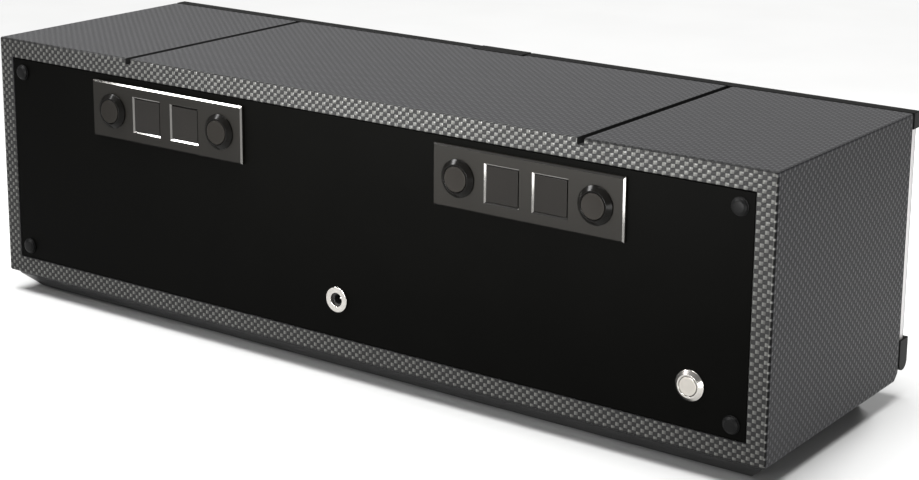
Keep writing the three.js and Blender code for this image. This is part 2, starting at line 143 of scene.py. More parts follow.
def make_floor():
    bm = bmesh.new()
    bmesh.ops.create_grid(bm, x_segments=8, y_segments=8, size=FLOOR_SIZE / 2)
    mesh = bpy.data.meshes.new("floor")
    bm.to_mesh(mesh)
    bm.free()
    floor = bpy.data.objects.new("floor", mesh)
    paper = Surface("studio_paper", (0.41, 0.41, 0.408), 0.9, specular=0.1)
    paper.mottle(paper.noise(120 * MM), 0.01)
    mesh.materials.append(paper.material)
    bpy.context.scene.collection.objects.link(floor)


# ---- Materials -------------------------------------------------------------------------------


class Field:
    """A number at each point of a surface, so that a material's maths reads as formulas."""

    def __init__(self, tree, socket):
        self.tree = tree
        self.socket = socket

    def math(self, operation, *others):
        node = self.tree.nodes.new("ShaderNodeMath")
        node.operation = operation
        for slot, value in zip(node.inputs, (self, *others)):
            if isinstance(value, Field):
                self.tree.links.new(value.socket, slot)
            else:
                slot.default_value = value
        return Field(self.tree, node.outputs[0])

    def __add__(self, other):
        return self.math("ADD", other)

    def __sub__(self, other):
        return self.math("SUBTRACT", other)

    def __mul__(self, other):
        return self.math("MULTIPLY", other)

    def __truediv__(self, other):
        return self.math("DIVIDE", other)

    def __gt__(self, other):
        return self.math("GREATER_THAN", other)

    __radd__ = __add__
    __rmul__ = __mul__

    def inverse(self):
        return (self * -1) + 1

    def fraction(self):
        return self.math("FRACT")

    def floor(self):
        return self.math("FLOOR")

    def sine(self):
        return self.math("SINE")

    def size(self):
        return self.math("ABSOLUTE")

    def ramp(self, start, end):
        """0 below start, 1 above end and smooth between them."""
        node = self.tree.nodes.new("ShaderNodeMapRange")
        node.interpolation_type = "SMOOTHSTEP"
        node.inputs["From Min"].default_value = start
        node.inputs["From Max"].default_value = end
        self.tree.links.new(self.socket, node.inputs["Value"])
        return Field(self.tree, node.outputs["Result"])


class Surface:
    """A procedural material, laid out in the object's own coordinates."""

    def __init__(self, name, colour, roughness, metallic=0.0, specular=0.5, **more):
        self.material = bpy.data.materials.new(name)
        self.material.use_nodes = True
        self.tree = self.material.node_tree
        self.shader = self.tree.nodes["Principled BSDF"]
        self.base = colour
        self.roughness = roughness
        self.set("Base Color", (*colour, 1))
        self.set("Roughness", roughness)
        self.set("Metallic", metallic)
        self.set("Specular IOR Level", specular)
        for socket, value in more.items():  # such as sheen_weight for the socket "Sheen Weight"
            self.set(socket.replace("_", " ").title().replace("Ior", "IOR"), value)
        self.place = self.tree.nodes.new("ShaderNodeTexCoord")
        self.x, self.y, self.z = self.parts(self.place.outputs["Object"])

    def set(self, socket, value):
        self.shader.inputs[socket].default_value = value

    def link(self, field, socket):
        self.tree.links.new(field.socket, self.shader.inputs[socket])

    def parts(self, vector):
        node = self.tree.nodes.new("ShaderNodeSeparateXYZ")
        self.tree.links.new(vector, node.inputs[0])
        return [Field(self.tree, output) for output in node.outputs]

    def facing(self):
        """How much the surface faces along X, Y and Z."""
        return [part.size() for part in self.parts(self.place.outputs["Normal"])]

    def around_y(self):
        """The distance from the object's own Y axis."""
        return (self.x * self.x + self.z * self.z).math("SQRT")

    def vector(self, *parts):
        node = self.tree.nodes.new("ShaderNodeCombineXYZ")
        for slot, part in zip(node.inputs, parts):
            self.tree.links.new(part.socket, slot)
        return node.outputs[0]

    def noise(self, size, detail=2.0, stretch=(1, 1, 1), at=None):
        """Noise around 0.5 with features of about that size, drawn out by stretch."""
        scale = self.tree.nodes.new("ShaderNodeVectorMath")
        scale.operation = "MULTIPLY"
        self.tree.links.new(at or self.place.outputs["Object"], scale.inputs[0])
        scale.inputs[1].default_value = [1 / (size * s) for s in stretch]
        node = self.tree.nodes.new("ShaderNodeTexNoise")
        node.inputs["Scale"].default_value = 1
        node.inputs["Detail"].default_value = detail
        self.tree.links.new(scale.outputs[0], node.inputs["Vector"])
        return Field(self.tree, node.outputs[0])

    def mix(self, factor, first, second):
        """A colour field from two colours, each a triple or another colour field."""
        node = self.tree.nodes.new("ShaderNodeMix")
        node.data_type = "RGBA"
        self.tree.links.new(factor.socket, node.inputs[0])
        for slot, colour in ((node.inputs[6], first), (node.inputs[7], second)):
            if isinstance(colour, Field):
                self.tree.links.new(colour.socket, slot)
            else:
                slot.default_value = (*colour, 1)
        return Field(self.tree, node.outputs[2])

    def mottle(self, field, amount):
        """Lightens and darkens the base colour by up to amount where field is high and low."""
        dark = [c * (1 - amount) for c in self.base]
        light = [min(1, c * (1 + amount)) for c in self.base]
        self.link(self.mix(field.ramp(0.3, 0.7), dark, light), "Base Color")

    def vary_roughness(self, field, amount):
        self.link((field - 0.5) * (2 * amount) + self.roughness, "Roughness")

    def tilt(self, *slopes):
        """Adds slopes along the object's X, Y and Z to the surface normal."""
        total = self.tree.nodes.new("ShaderNodeVectorMath")
        total.operation = "ADD"
        self.tree.links.new(self.place.outputs["Normal"], total.inputs[0])
        self.tree.links.new(self.vector(*slopes), total.inputs[1])
        unit = self.tree.nodes.new("ShaderNodeVectorMath")
        unit.operation = "NORMALIZE"
        self.tree.links.new(total.outputs[0], unit.inputs[0])
        turn = self.tree.nodes.new("ShaderNodeVectorTransform")
        turn.vector_type = "NORMAL"
        turn.convert_from, turn.convert_to = "OBJECT", "WORLD"
        self.tree.links.new(unit.outputs[0], turn.inputs[0])
        self.tree.links.new(turn.outputs[0], self.shader.inputs["Normal"])

    def bump(self, height):
        """Raises the surface by height, in metres."""
        node = self.tree.nodes.new("ShaderNodeBump")
        node.inputs["Distance"].default_value = 1
        node.inputs["Strength"].default_value = 1
        self.tree.links.new(height.socket, node.inputs["Height"])
        self.tree.links.new(node.outputs["Normal"], self.shader.inputs["Normal"])


WEAVE = {
    "width": 3.0 * MM,
    "height": 2.67 * MM,
    "threads": 3,
    "arch": 0.32,
    "crown": 0.12,
    "ridge": 0.22,
}
# The bright strips and the dark threads of the weave, on each kind of face. The top and side tones are
# painted shade: flatter on the top and darker on the sides.
WEAVE_TONES = {
    "frame": ((0.128, 0.128, 0.121), (0.022, 0.0216, 0.021)),
    "top": ((0.065, 0.065, 0.066), (0.062, 0.062, 0.064)),
    "side": ((0.037, 0.037, 0.040), (0.029, 0.029, 0.032)),
}
THREAD_GAP = (0.008, 0.008, 0.0085)
# Painted shade: the dark strips along the folded edges are painted black.
PAINTED_FOLD_SHADE = (0.003, 0.003, 0.003)
# A painted highlight: the light line along the upright folds, where the rounded edge catches the light.
PAINTED_FOLD_HIGHLIGHT = (0.2, 0.2, 0.19)
# How far a face has to turn towards an axis, from and to, before it counts as part of a fold.
UPRIGHT_FOLD = {"x": (0.04, 0.16), "y": (0.04, 0.16), "not_z": (0.1, 0.2), "not_highlight_x": (0.36, 0.46)}
LEVEL_FOLD = {"y": (0.15, 0.35), "z": (0.22, 0.4)}
FOLD_DOT = 0.26  # the light share of each pair of cells along an upright fold


def leatherette():
    """Embossed leatherette that imitates a plain weave of bright and dark strips.

    Bright strips are arched and finely ridged, and dark ones have level threads. The slopes are
    added to the surface normal. Where the cover is folded round an edge the dark strips are painted
    black as shade, with a painted highlight line along the upright folds, and the top and the sides
    are painted in shaded tones, the sides darkest.
    """
    s = Surface("leatherette", (0.06, 0.06, 0.06), 0.42, specular=0.16)
    facing_x, facing_y, facing_z = s.facing()
    on_side = facing_x > facing_y.math("MAXIMUM", facing_z)
    on_top = facing_z > facing_x.math("MAXIMUM", facing_y)
    across = (s.x + (s.y - s.x) * on_side) / WEAVE["width"]
    along = (s.z + (s.y - s.z) * on_top) / WEAVE["height"]
    parity = ((across.floor() + along.floor()) * 0.5).fraction() * 2
    u, v = across.fraction(), along.fraction()
    edge = (u * math.pi).sine().math("MINIMUM", (v * math.pi).sine()).ramp(0.0, 0.35)
    level = (v * (2 * math.pi * WEAVE["threads"])).sine()
    upright = (u * (2 * math.pi * WEAVE["threads"])).sine()

    # The folds round the upright edges, with a painted highlight line next to the frame, and along the level
    # edges.
    turned = facing_x.ramp(*UPRIGHT_FOLD["x"]) * facing_y.ramp(*UPRIGHT_FOLD["y"])
    upright_fold = turned * facing_z.ramp(*UPRIGHT_FOLD["not_z"]).inverse()
    fold_highlight = upright_fold * facing_x.ramp(*UPRIGHT_FOLD["not_highlight_x"]).inverse()
    level_fold = facing_z.ramp(*LEVEL_FOLD["z"]) * facing_y.ramp(*LEVEL_FOLD["y"])
    dots = ((along * 0.5).fraction() > FOLD_DOT).inverse()
    folded_strip = (dots * upright_fold).math("MAXIMUM", fold_highlight * (dots * 0.6 + 0.25))
    strip = edge * parity * upright_fold.inverse() + folded_strip
    bright = strip * level_fold.inverse()

    # The frame faces show the weave boldly, and the top and the sides are painted in flatter, shaded tones.
    wear = s.noise(35 * MM, 3)
    painted_shade_tone = s.mix(on_side, WEAVE_TONES["top"][1], WEAVE_TONES["side"][1])
    lit_thread = s.mix(on_side + on_top, WEAVE_TONES["frame"][1], painted_shade_tone)
    painted_shade_tone = s.mix(on_side, WEAVE_TONES["top"][0], WEAVE_TONES["side"][0])
    light = s.mix(on_side + on_top, WEAVE_TONES["frame"][0], painted_shade_tone)
    # Painted shade across each bright strip: darker towards the low end of its cell and lighter towards the
    # high end, with random wear on top.
    light = s.mix(u.ramp(0.15, 0.95).inverse() * 0.55 + wear.ramp(0.25, 0.75) * 0.15, light, lit_thread)
    # Painted highlight along the upright folds.
    light = s.mix(fold_highlight, light, PAINTED_FOLD_HIGHLIGHT)
    thread = s.mix(edge * (level + 1) * 0.5, THREAD_GAP, lit_thread)
    # Painted shade: in the folds the dark strips are painted black, and on the level folds the bright strips
    # as well.
    dark = s.mix(upright_fold.math("MAXIMUM", level_fold), thread, PAINTED_FOLD_SHADE)
    s.link(s.mix(bright, dark, light), "Base Color")
    s.link(bright * 0.3, "Metallic")
    unevenness = (s.noise(0.6 * MM) - 0.5) * 0.1
    s.link(unevenness + strip * -0.16 + upright_fold * 0.4 + 0.46, "Roughness")

    # The slope across and along a bright cell, and the fine ridges of both kinds.
    arch = (u * math.pi).math("COSINE") * -WEAVE["arch"]
    crown = (v * math.pi).math("COSINE") * -WEAVE["crown"]
    slope_across = (arch + upright * WEAVE["ridge"]) * parity
    slope_along = crown * parity + level * parity.inverse() * WEAVE["ridge"]
    s.tilt(
        slope_across * on_side.inverse(),
        slope_across * on_side + slope_along * on_top,
        slope_along * on_top.inverse(),
    )
    return s.material


def painted(name, colour, roughness, specular=0.5, grain=0.4, rise=0.006, mottle=0.12):
    """A moulded, painted or anodised finish: fine grain, and slow changes of tone and gloss."""
    s = Surface(name, colour, roughness, specular=specular)
    fine = s.noise(grain * MM, 2)
    slow = s.noise(40 * MM, 3)
    s.mottle(slow * 0.6 + fine * 0.4, mottle)
    s.vary_roughness(slow * 0.5 + fine * 0.5, 0.12 * roughness + 0.01)
    s.bump(fine * (rise * MM))
    return s.material


def bead_blasted(name, colour):
    """Anodised aluminium plate with a fine, even, matt grain."""
    s = Surface(name, colour, 0.48, metallic=0.4, specular=0.24)
    grain = s.noise(0.25 * MM, 1)
    slow = s.noise(60 * MM, 2)
    s.mottle(grain * 0.5 + slow * 0.5, 0.16)
    s.vary_roughness(grain, 0.05)
    s.bump(grain * (0.012 * MM))
    return s.material


def bright_cut(name, colour, roughness):
    """A machined metal edge, with fine marks along it."""
    s = Surface(name, colour, roughness, metallic=1.0)
    marks = s.noise(0.3 * MM, 2, stretch=(6, 1, 1))
    s.mottle(marks, 0.06)
    s.vary_roughness(marks, 0.04)
    s.bump(marks * (0.003 * MM))
    return s.material


def turned_metal(name, colour, roughness, rings=0.35, metallic=1.0, specular=0.5, rise=0.004):
    """Metal turned or brushed in rings about the object's own Y axis."""
    s = Surface(name, colour, roughness, metallic, specular)
    radius = s.around_y()
    ring = s.noise(rings * MM, 2, at=s.vector(radius, radius, s.y))
    smear = s.noise(6 * MM, 2)
    s.mottle(ring * 0.7 + smear * 0.3, 0.10)
    s.vary_roughness(ring * 0.6 + smear * 0.4, 0.05)
    s.bump(ring * (rise * MM))
    return s.material


def brushed_metal(name, colour, roughness):
    """Metal brushed along X."""
    s = Surface(name, colour, roughness, metallic=1.0)
    hair = s.noise(0.3 * MM, 2, stretch=(30, 1, 1))
    s.mottle(hair, 0.12)
    s.vary_roughness(hair, 0.07)
    s.bump(hair * (0.004 * MM))
    return s.material


def suede(name, colour, nap=1.1):
    """Microfibre suede: a short nap that catches light, with patches brushed either way."""
    s = Surface(name, colour, 0.95, specular=0.15, sheen_weight=0.5, sheen_roughness=0.45)
    s.set("Sheen Tint", (*[min(1, 2.2 * c + 0.1) for c in colour], 1))
    fibres = s.noise(nap * MM, 4)
    patches = s.noise(16 * MM, 2)
    s.mottle(fibres * 0.5 + patches * 0.5, 0.35)
    s.vary_roughness(fibres, 0.04)
    s.bump(fibres * (0.12 * MM) + patches * (0.2 * MM))
    return s.material


BOARD_GREEN = (0.02, 0.11, 0.05)
TRACK_GREEN = (0.05, 0.20, 0.09)


def circuit_board():
    """Green solder mask with fine copper tracks showing through."""
    s = Surface("solder_mask", BOARD_GREEN, 0.35)
    lanes = s.noise(3.2 * MM, 0, stretch=(3, 1, 1))
    tracks = (lanes - 0.5).size().ramp(0.012, 0.03).inverse()
    s.link(s.mix(tracks, BOARD_GREEN, TRACK_GREEN), "Base Color")
    s.bump(tracks * (0.03 * MM))
    s.vary_roughness(s.noise(5 * MM), 0.05)
    return s.material


def clear_glass():
    """A clear pane: mostly see-through, with an even mirror reflection and faint smears."""
    s = Surface("clear_glass", (0.90, 0.96, 0.94), 0.02, metallic=1.0, alpha=0.02)
    smear = s.noise(25 * MM, 3)
    s.vary_roughness(smear, 0.012)
    return s.material


def ground_edge(name, colour):
    """The finely ground edge of a glass pane, which lets light through but no picture."""
    s = Surface(name, colour, 0.45, transmission_weight=0.5, ior=1.5)
    grain = s.noise(0.3 * MM, 1)
    s.vary_roughness(grain, 0.05)
    s.bump(grain * (0.01 * MM))
    return s.material


FINISHES = {
    "leatherette": leatherette,
    "groove": lambda: painted("groove_lining", (0.012, 0.012, 0.012), 0.6, 0.2, rise=0.02),
    "flock": lambda: suede("flock_lining", (0.018, 0.018, 0.019), 0.8),
    "lacquer": lambda: painted("lacquer", (0.007, 0.007, 0.007), 0.24, 0.3, rise=0.002),
    "panel": lambda: painted("panel_black", (0.0011, 0.0011, 0.0009), 0.45, 0.024, grain=0.5),
    "screw": lambda: painted("screw_black", (0.0035, 0.0035, 0.0035), 0.4, 0.10, rise=0.004),
    "plate": lambda: bead_blasted("control_plate", (0.0074, 0.0066, 0.0052)),
    "bright": lambda: bright_cut("bright_cut", (0.22, 0.215, 0.206), 0.08),
    "window": lambda: painted("smoked_window", (0.0055, 0.0047, 0.0038), 0.26, 0.22, grain=0.8, rise=0.002),
    "bezel": lambda: turned_metal("bezel_black", (0.003, 0.0028, 0.0025), 0.2, metallic=0.0, specular=0.09),
    "cap": lambda: turned_metal(
        "cap_grey", (0.0105, 0.0092, 0.0076), 0.46, rings=0.5, metallic=0.3, specular=0.14
    ),
    "chrome": lambda: turned_metal("satin_chrome", (0.55, 0.53, 0.50), 0.20, rings=0.3),
    "steel_cap": lambda: turned_metal("brushed_cap", (0.50, 0.475, 0.435), 0.38, rings=0.4, rise=0.008),
    "insert": lambda: painted("inlet_insert", (0.012, 0.012, 0.012), 0.45, 0.4, grain=0.3),
    "steel": lambda: brushed_metal("brushed_steel", (0.58, 0.57, 0.55), 0.30),
    "zinc": lambda: turned_metal("zinc_plated", (0.62, 0.62, 0.60), 0.34, rings=0.8),
    "rubber": lambda: painted("rubber", (0.018, 0.018, 0.018), 0.85, 0.25, grain=0.6, rise=0.03),
    "black_metal": lambda: painted("black_aluminium", (0.004, 0.004, 0.0038), 0.38, 0.08, grain=0.3),
    "cup": lambda: painted("cup_moulding", (0.016, 0.016, 0.016), 0.34, 0.5, grain=0.7, rise=0.01),
    "suede": lambda: suede("cushion_suede", (0.085, 0.084, 0.082)),
    "piping": lambda: suede("piping_suede", (0.060, 0.060, 0.060), 0.7),
    "lining": lambda: suede("cup_lining", (0.030, 0.030, 0.031)),
    "acetal": lambda: painted("acetal", (0.74, 0.72, 0.66), 0.42, 0.5, grain=0.8, rise=0.008, mottle=0.04),
    "motor_cap": lambda: painted("motor_end_cap", (0.02, 0.02, 0.022), 0.5, 0.4, grain=0.5),
    "board": circuit_board,
    "display": lambda: painted("display_module", (0.03, 0.035, 0.03), 0.2, 0.5, grain=0.5, rise=0.002),
    "chip": lambda: painted("chip_black", (0.018, 0.018, 0.018), 0.55, 0.4, grain=0.3),
    "glass": clear_glass,
    "edge": lambda: ground_edge("ground_edge", (0.62, 0.60, 0.60)),
    # The darker part of the pane's edge carries painted shade.
    "shaded_edge": lambda: ground_edge("ground_edge_painted_shade", (0.09, 0.095, 0.093)),
}
LOOK = {name: make() for name, make in FINISHES.items()}


# ---- Shapes ----------------------------------------------------------------------------------

SHARP = math.radians(40)


def piece(name, bm, looks, body, stands_for=(), at=(0, 0, 0), paint=None, smooth=38):
    """Makes an object from bm that rides on a CAD body. paint(centre, normal) picks a face's look."""
    bm.normal_update()
    if paint:
        for face in bm.faces:
            face.material_index = paint(face.calc_center_median(), face.normal)
    mesh = bpy.data.meshes.new(name)
    bm.to_mesh(mesh)
    bm.free()
    for look in looks:
        mesh.materials.append(LOOK[look])
    mesh.shade_smooth()
    mesh.set_sharp_from_angle(angle=math.radians(smooth))
    obj = bpy.data.objects.new(name, mesh)
    obj.location = at
    bpy.context.scene.collection.objects.link(obj)
    normals = obj.modifiers.new("normals", "WEIGHTED_NORMAL")
    normals.keep_sharp = True
    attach(obj, body)
    if stands_for:
        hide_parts(*stands_for)
    return obj


def middle_of(node):
    low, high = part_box(node)
    return (low + high) / 2


def size_of(node):
    low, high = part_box(node)
    return high - low


def copy_of(node):
    """A copy of a CAD node with its vertices welded and its flat faces merged."""
    bm = bmesh.new()
    bm.from_mesh(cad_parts[node].data)
    bmesh.ops.remove_doubles(bm, verts=bm.verts, dist=0.01 * MM)
    bmesh.ops.dissolve_limit(bm, angle_limit=math.radians(0.5), verts=bm.verts, edges=bm.edges)
    return bm


def rounded_copy(name, node, radius, look, body="case", segments=2):
    """Makes a piece from a CAD node's own shape, with its sharp edges rounded by radius, in mm."""
    bm = copy_of(node)
    round_edges(bm, radius * MM, segments)
    piece(name, bm, [look], body, [node])


def round_edges(bm, radius, segments=2, test=None):
    """Rounds the sharp edges that pass the test, which is given each edge's two ends."""
    edges = [
        e
        for e in bm.edges
        if len(e.link_faces) == 2
        and e.calc_face_angle(0) > SHARP
        and (test is None or test(e.verts[0].co, e.verts[1].co))
    ]
    bmesh.ops.bevel(
        bm,
        geom=edges,
        offset=radius,
        offset_type="OFFSET",
        segments=segments,
        profile=0.5,
        affect="EDGES",
        clamp_overlap=True,
    )


def add_block(bm, low, high, bevel=0.0, material=0):
    """Adds a box between two corners, with its edges bevelled."""
    low, high = Vector(low), Vector(high)
    made = bmesh.ops.create_cube(bm, size=1)
    for v in made["verts"]:
        v.co = (low + high) / 2 + Vector(a * b for a, b in zip(v.co, high - low))
    faces = {f for v in made["verts"] for f in v.link_faces}
    for face in faces:
        face.material_index = material
    if bevel:
        edges = list({e for f in faces for e in f.edges})
        bmesh.ops.bevel(bm, geom=edges, offset=bevel, segments=2, profile=0.5, affect="EDGES")


def filleted(corners, steps=4):
    """The line through corners, each (across, along, fillet radius) in mm, with rounded corners."""
    points = []
    for i, (across, along, radius) in enumerate(corners):
        here = Vector((across, along))
        if radius == 0:
            points.append(here * MM)
            continue
        before = (Vector(corners[i - 1][:2]) - here).normalized()
        after = (Vector(corners[(i + 1) % len(corners)][:2]) - here).normalized()
        reach = radius / math.tan(before.angle(after) / 2)
        start, end = here + before * reach, here + after * reach
        for k in range(steps + 1):
            t = k / steps
            points.append((start * (1 - t) ** 2 + here * 2 * t * (1 - t) + end * t**2) * MM)
    return points


def lathe(corners, segments=96):
    """A solid of revolution about local Y. The corners start and end on the axis."""
    bm = bmesh.new()
    rings = []
    for radius, along in filleted(corners):
        count = 1 if radius < 1e-7 else segments
        turns = [2 * math.pi * k / count for k in range(count)]
        rings.append([bm.verts.new((radius * math.cos(a), along, radius * math.sin(a))) for a in turns])
    for one, two in zip(rings, rings[1:]):
        for k in range(segments):
            following = (k + 1) % segments
            around = [
                one[k % len(one)],
                one[following % len(one)],
                two[following % len(two)],
                two[k % len(two)],
            ]
            bm.faces.new(dict.fromkeys(around))
    bmesh.ops.recalc_face_normals(bm, faces=bm.faces)
    return bm


def tube(points, radius, sides=10):
    """A closed tube along a ring of points."""
    bm = bmesh.new()
    rings = []
    count = len(points)
    for i, point in enumerate(points):
        ahead = (points[(i + 1) % count] - points[i - 1]).normalized()
        side = ahead.cross(Vector((0, 1, 0))).normalized()
        up = side.cross(ahead)
        turns = [2 * math.pi * k / sides for k in range(sides)]
        rings.append([bm.verts.new(point + (side * math.cos(a) + up * math.sin(a)) * radius) for a in turns])
    for i in range(count):
        one, two = rings[i], rings[(i + 1) % count]
        for k in range(sides):
            following = (k + 1) % sides
            bm.faces.new((one[k], one[following], two[following], two[k]))
    bmesh.ops.recalc_face_normals(bm, faces=bm.faces)
    return bm


# ---- The case --------------------------------------------------------------------------------

GROOVE = {"x": 189.5 * MM, "width": 5 * MM, "depth": 4.5 * MM}
WALL = 13.0 * MM
OUTER_ROUND = 2.2 * MM
RIM_ROUND = 0.5 * MM
SMOOTH_FACE_LIMIT = 700 * MM**2  # the area from which a face of the case is shaded flat
LIP = {"front_and_back": 3 * MM, "back": 2 * MM}  # the depth that leatherette covers inside the case


def make_case():
    low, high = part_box("case_shell")
    bm = copy_of("case_shell")
    near = 0.05 * MM
    weld = 0.03 * MM

    def on_outside(p):
        return (
            abs(abs(p.x) - high.x) < near
            or abs(p.z - low.z) < near
            or abs(p.z - high.z) < near
        )

    def beside_groove(p):
        return abs(abs(p.x) - GROOVE["x"]) < GROOVE["width"] / 2 + near

    def in_groove(p):
        return beside_groove(p) and p.z > high.z - GROOVE["depth"] - near

    def outer_edge(a, b):
        return on_outside(a) and on_outside(b) and not (in_groove(a) and in_groove(b))

    def inner_rim(a, b):
        return all(abs(p.y - high.y) < near and abs(p.x) < high.x - WALL / 2 for p in (a, b))

    round_edges(bm, OUTER_ROUND, 3, outer_edge)
    # A rounded edge that ends at a groove may slide along the face, and is brought back to its side.
    side = GROOVE["x"] + GROOVE["width"] / 2
    slide_limit = 20 * MM
    for v in bm.verts:
        if side + near < abs(v.co.x) < side + slide_limit and v.co.z > high.z - 2 * OUTER_ROUND:
            v.co.x = math.copysign(side, v.co.x)
    bmesh.ops.remove_doubles(bm, verts=bm.verts, dist=weld)
    bmesh.ops.dissolve_degenerate(bm, dist=weld, edges=bm.edges)
    round_edges(bm, RIM_ROUND, 2, inner_rim)

    def paint(centre, normal):
        """0 for leatherette, 1 for the lining of the grooves and 2 for the lining inside."""
        if in_groove(centre) and normal.y < 0.9 and abs(centre.z - high.z) > near:
            return 1
        between_sides = abs(centre.x) < high.x - WALL - near + RIM_ROUND
        inside = between_sides and low.z + WALL - near < centre.z < high.z - WALL + near
        from_ends = min(centre.y - low.y, high.y - centre.y)
        facing_out = abs(normal.y) > 0.5 and from_ends < LIP["front_and_back"]
        return 2 if inside and not facing_out and high.y - centre.y > LIP["back"] else 0

    looks = ["leatherette", "groove", "flock"]
    case = piece("case_leatherette", bm, looks, "case", ["case_shell"], paint=paint)
    # Smooth normals leave streaks across a large face that has holes, so those are shaded flat.
    case.modifiers.clear()
    for face in case.data.polygons:
        face.use_smooth = face.area < SMOOTH_FACE_LIMIT

    rounded_copy("plinth", "base_plinth", 0.7, "lacquer", segments=3)
    for n in range(1, 5):
        make_foot(n)
    rounded_copy("catch_magnet", "door_magnet", 0.4, "steel")


def make_foot(n):
    """A rubber foot with a raised rim under it, turned upside down from its lathe outline."""
    node = f"foot_{n}"
    low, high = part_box(node)
    radius, height = (high.x - low.x) / 2 / MM, (high.z - low.z) / MM
    bm = lathe([
        (0, 0, 0),
        (radius, 0, 0.4),
        (radius, height, 0.8),
        (radius - 1.6, height, 0.3),
        (radius - 2.2, height - 0.5, 0.2),
        (radius - 4.0, height - 0.5, 0.2),
        (radius - 4.6, height, 0.3),
        (0, height, 0),
    ], 48)
    for v in bm.verts:
        v.co = Vector((v.co.x, -v.co.z, -v.co.y))
    bmesh.ops.recalc_face_normals(bm, faces=bm.faces)
    middle = middle_of(node)
    piece(f"rubber_foot_{n}", bm, ["rubber"], "case", [node], (middle.x, middle.y, high.z))


# ---- The back panel and its controls ---------------------------------------------------------

# Sizes in mm, lengths from the face that a control is mounted on.
BUTTON = {"flange": 12.5, "barrel": 10.8, "rim": 9.3, "bore": 8.6, "height": 3.2, "length": 17}
POWER = {"flange": 9.75, "barrel": 7.9, "rim": 7.1, "bore": 6.25, "height": 2.7, "length": 19}
WELL_DEPTH = 6.0
CAP_GAP = 0.35
SEAT_GAP = 0.3
SCREW = {"head": 5.8, "dome": 5.2, "shank": 1.7, "tip": 1.2, "height": 2.7}
INLET = {"flange": 8.8, "barrel": 5.8, "mouth": 4.7, "socket": 3.3, "pin": 1.0, "height": 1.8, "length": 14}


def bezel(b):
    """A push button's fixed part, facing +Y, with y = 0 at the face that it is mounted on."""
    face = SEAT_GAP + b["height"]
    return lathe([
        (0, -b["length"], 0),
        (b["barrel"], -b["length"], 0.4),
        (b["barrel"], SEAT_GAP, 0),
        (b["flange"], SEAT_GAP, 0),
        (b["flange"], SEAT_GAP + 0.7, 0.35),
        (b["rim"] + 0.25, face, 0.25),
        (b["bore"], face, 0.3),
        (b["bore"], face - WELL_DEPTH, 0),
        (0, face - WELL_DEPTH, 0),
    ])


def button_cap(b, height):
    """A button's cap, with y = 0 at its inner end. Its face is very slightly dished."""
    radius = b["bore"] - CAP_GAP
    return lathe([
        (0, 0, 0),
        (radius, 0, 0.2),
        (radius, height - 0.05, 0.3),
        (radius - 0.4, height, 0.3),
        (radius * 0.5, height - 0.12, 1.0),
        (0, height - 0.15, 0),
    ])


def make_back():
    rounded_copy("rear_panel", "back_panel", 0.35, "panel")
    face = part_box("back_panel")[1].y
    for n in range(1, 5):
        make_screw(n, face)
    make_inlet(face)

    middle = middle_of("power_button_bezel")
    piece("power_bezel", bezel(POWER), ["chrome"], "case", ["power_button_bezel"],
          (middle.x, face, middle.z))
    low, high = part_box("power_button_cap")
    piece("power_cap", button_cap(POWER, (high.y - low.y) / MM), ["steel_cap"], "power_button",
          ["power_button_cap"], (middle.x, low.y, middle.z))


def make_screw(n, face):
    """A panel screw with a rim, a fine groove inside it and a domed middle."""
    node = f"back_screw_{n}"
    middle = middle_of(node)
    depth = (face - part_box(node)[0].y) / MM
    bm = lathe([
        (0, -depth, 0),
        (SCREW["tip"], -depth, 0),
        (SCREW["shank"], -depth + 1.5, 0),
        (SCREW["shank"], SEAT_GAP, 0),
        (SCREW["head"], SEAT_GAP, 0),
        (SCREW["head"], SEAT_GAP + 0.5, 0.2),
        (SCREW["dome"] + 0.15, SEAT_GAP + 0.55, 0.05),
        (SCREW["dome"] + 0.1, SEAT_GAP + 0.4, 0.05),
        (SCREW["dome"], SEAT_GAP + 1.3, 0.6),
        (3.6, SEAT_GAP + SCREW["height"] - 0.35, 1.2),
        (0, SEAT_GAP + SCREW["height"], 0),
    ], 48)
    piece(f"panel_screw_{n}", bm, ["screw"], "case", [node], (middle.x, face, middle.z))


def make_inlet(face):
    """The power inlet: a bright flange round a dark socket with a bright pin in it."""
    middle = middle_of("dc_jack")
    bm = lathe([
        (0, -INLET["length"], 0),
        (INLET["barrel"], -INLET["length"], 0.4),
        (INLET["barrel"], SEAT_GAP, 0),
        (INLET["flange"], SEAT_GAP, 0),
        (INLET["flange"], INLET["height"], 0.6),
        (INLET["mouth"], INLET["height"], 0.35),
        (INLET["mouth"], -0.4, 0),
        (INLET["socket"], -0.4, 0.3),
        (INLET["socket"], -11, 0),
        (INLET["pin"], -11, 0),
        (INLET["pin"], -2.8, 0.4),
        (0, -2.4, 0),
    ], 64)

    def paint(centre, _normal):
        """0 for bright metal and 1 for the dark lining of the socket."""
        radius, along = math.hypot(centre.x, centre.z) / MM, centre.y / MM
        return 1 if INLET["pin"] + 0.2 < radius < INLET["mouth"] - 0.05 and -11.5 < along < 1.2 else 0

    piece("dc_inlet", bm, ["chrome", "insert"], "case", ["dc_jack"],
          (middle.x, face, middle.z), paint=paint)


